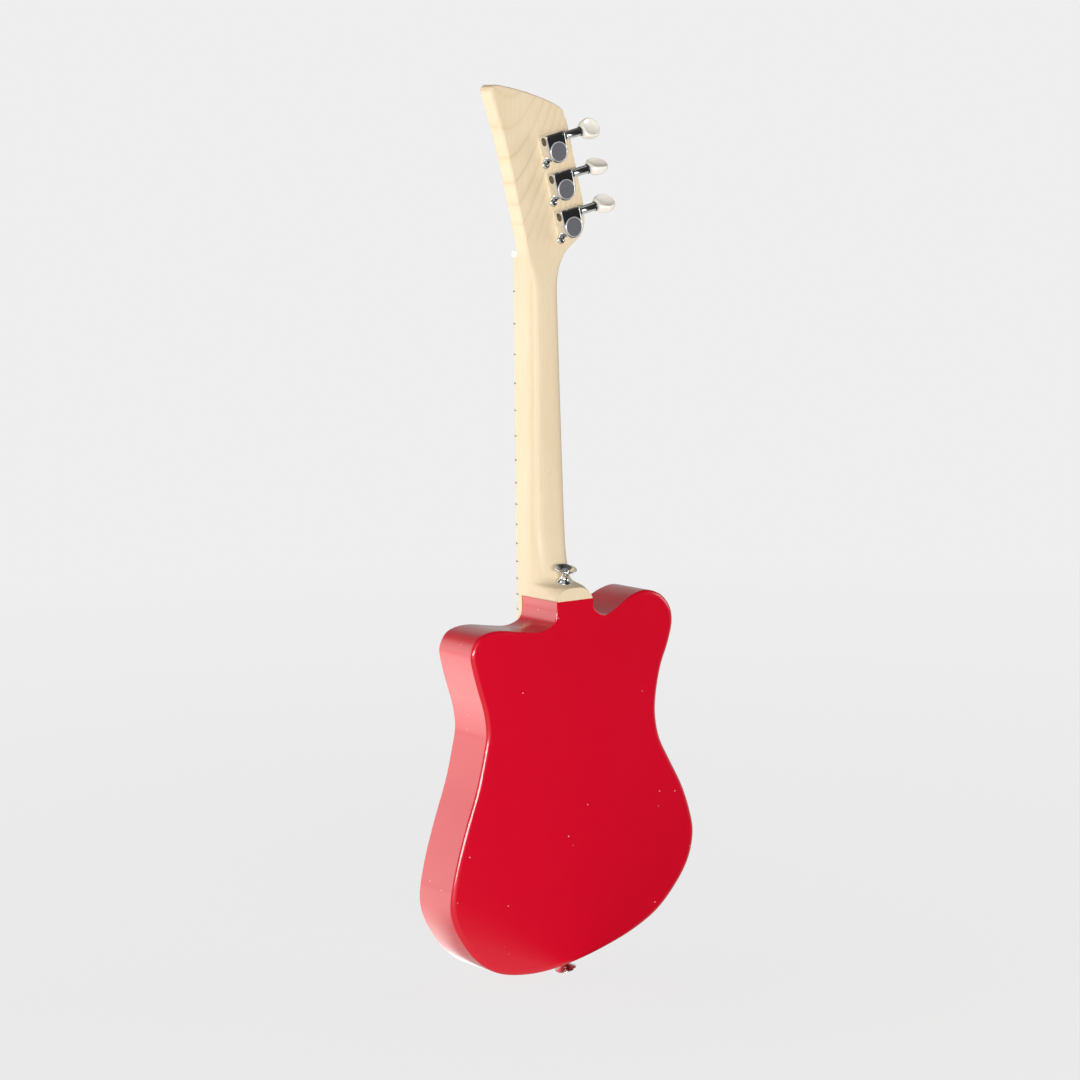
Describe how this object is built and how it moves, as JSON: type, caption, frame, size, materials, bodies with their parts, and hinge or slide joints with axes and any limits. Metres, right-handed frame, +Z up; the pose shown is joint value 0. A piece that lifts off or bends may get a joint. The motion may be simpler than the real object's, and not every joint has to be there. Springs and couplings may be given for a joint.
{
  "type": "toy electric guitar",
  "caption": "Small child's electric guitar with offset horns, one pickup, volume and tone controls, in-line worm tuners and strap buttons.",
  "frame": {"origin": "middle of the outer face of the strap button at the tail, on the centre line of the neck and at mid-depth of the body", "axes": "+Z up along the neck to the headstock, -Y out of the front (string side), +Y out of the back, +X to the right seen from the front"},
  "size_m": [0.1948, 0.0598, 0.5856],
  "materials": {
    "red_lacquer": "gloss lacquer over basswood",
    "maple": "satin clear lacquer",
    "fretboard_wood": "satin oiled",
    "fret_wire": "polished nickel silver",
    "dark_inlay": "satin",
    "bone": "satin bone-like",
    "steel": "nickel plated",
    "chrome": "polished chrome",
    "cap_metal": "polished dark chrome",
    "worm_steel": "turned steel",
    "brass": "cut brass",
    "cream_plastic": "polished cream",
    "guard_plastic": "polished off-white, three plies",
    "coil_wire": "enamelled copper wire",
    "magnet": "raw magnet alloy",
    "spring_steel": "bright spring wire",
    "pot_metal": "zinc plated",
    "knob_plastic": "black moulded",
    "capacitor_plastic": "orange dipped",
    "black_insulation": "woven black sleeve",
    "string_steel": "plain and wound steel"
  },
  "bodies": {
    "guitar": {"body": "red_lacquer", "neck": "maple", "fretboard": "fretboard_wood", "frets": "fret_wire", "position_dots": "dark_inlay", "nut": "bone", "truss_rod": "steel", "neck_screws": "steel", "tuner_housing_1": "chrome", "tuner_housing_2": "chrome", "tuner_housing_3": "chrome", "tuner_caps": "cap_metal", "tuner_bushings": "chrome", "tuner_screws": "steel", "string_retainer": "chrome", "retainer_screw": "steel", "pickguard": "guard_plastic", "pickguard_screws": "steel", "pickup_cover": "chrome", "pickup_coil": "coil_wire", "pickup_magnet": "magnet", "pickup_bracket": "steel", "pickup_screws": "steel", "pickup_springs": "spring_steel", "bridge_plate": "chrome", "saddle_spring_1": "spring_steel", "saddle_spring_2": "spring_steel", "saddle_spring_3": "spring_steel", "intonation_screws": "steel", "bridge_screws": "steel", "volume_pot": "pot_metal", "tone_pot": "pot_metal", "pot_nuts": "steel", "capacitor": "capacitor_plastic", "output_jack": "pot_metal", "jack_nut": "steel", "wiring": "black_insulation", "string_1": "string_steel", "string_2": "string_steel", "string_3": "string_steel", "strap_buttons": "chrome", "strap_screws": "steel"},
    "button_1": {"tuner_worm_1": "worm_steel", "tuner_button_1": "cream_plastic"},
    "post_1": {"tuner_gear_1": "brass", "tuner_post_1": "chrome"},
    "button_2": {"tuner_worm_2": "worm_steel", "tuner_button_2": "cream_plastic"},
    "post_2": {"tuner_gear_2": "brass", "tuner_post_2": "chrome"},
    "button_3": {"tuner_worm_3": "worm_steel", "tuner_button_3": "cream_plastic"},
    "post_3": {"tuner_gear_3": "brass", "tuner_post_3": "chrome"},
    "saddle_1": {"bridge_saddle_1": "steel"},
    "saddle_2": {"bridge_saddle_2": "steel"},
    "saddle_3": {"bridge_saddle_3": "steel"},
    "volume": {"volume_knob": "knob_plastic"},
    "tone": {"tone_knob": "knob_plastic"}
  },
  "joints": [
    {"name": "button_1_spin", "type": "hinge", "parent": "guitar", "child": "button_1", "pos_m": [-0.00645, -0.00275, 0.54811], "axis": [-0.977, 0, 0.213], "continuous": true},
    {"name": "post_1_spin", "type": "hinge", "parent": "guitar", "child": "post_1", "pos_m": [-0.0082, -0.00775, 0.5401], "axis": [0, 1, 0], "continuous": true},
    {"name": "button_2_spin", "type": "hinge", "parent": "guitar", "child": "button_2", "pos_m": [-0.01178, -0.00275, 0.52369], "axis": [-0.977, 0, 0.213], "continuous": true},
    {"name": "post_2_spin", "type": "hinge", "parent": "guitar", "child": "post_2", "pos_m": [-0.01353, -0.00775, 0.51567], "axis": [0, 1, 0], "continuous": true},
    {"name": "button_3_spin", "type": "hinge", "parent": "guitar", "child": "button_3", "pos_m": [-0.0171, -0.00275, 0.49926], "axis": [-0.977, 0, 0.213], "continuous": true},
    {"name": "post_3_spin", "type": "hinge", "parent": "guitar", "child": "post_3", "pos_m": [-0.01885, -0.00775, 0.49125], "axis": [0, 1, 0], "continuous": true},
    {"name": "saddle_1_slide", "type": "slide", "parent": "guitar", "child": "saddle_1", "axis": [0, 0, 1], "range_m": [-0.002, 0.002], "deforming": ["saddle_spring_1"]},
    {"name": "saddle_2_slide", "type": "slide", "parent": "guitar", "child": "saddle_2", "axis": [0, 0, 1], "range_m": [-0.002, 0.002], "deforming": ["saddle_spring_2"]},
    {"name": "saddle_3_slide", "type": "slide", "parent": "guitar", "child": "saddle_3", "axis": [0, 0, 1], "range_m": [-0.002, 0.002], "deforming": ["saddle_spring_3"]},
    {"name": "volume_turn", "type": "hinge", "parent": "guitar", "child": "volume", "pos_m": [0.055, -0.035, 0.092], "axis": [0, -1, 0], "range_deg": [-150, 150]},
    {"name": "tone_turn", "type": "hinge", "parent": "guitar", "child": "tone", "pos_m": [0.068, -0.035, 0.066], "axis": [0, -1, 0], "range_deg": [-150, 150]}
  ],
  "couplings": [
    {"joint": "post_1_spin", "follows": "button_1_spin", "ratio": 0.071429},
    {"joint": "post_2_spin", "follows": "button_2_spin", "ratio": 0.071429},
    {"joint": "post_3_spin", "follows": "button_3_spin", "ratio": 0.071429}
  ]
}
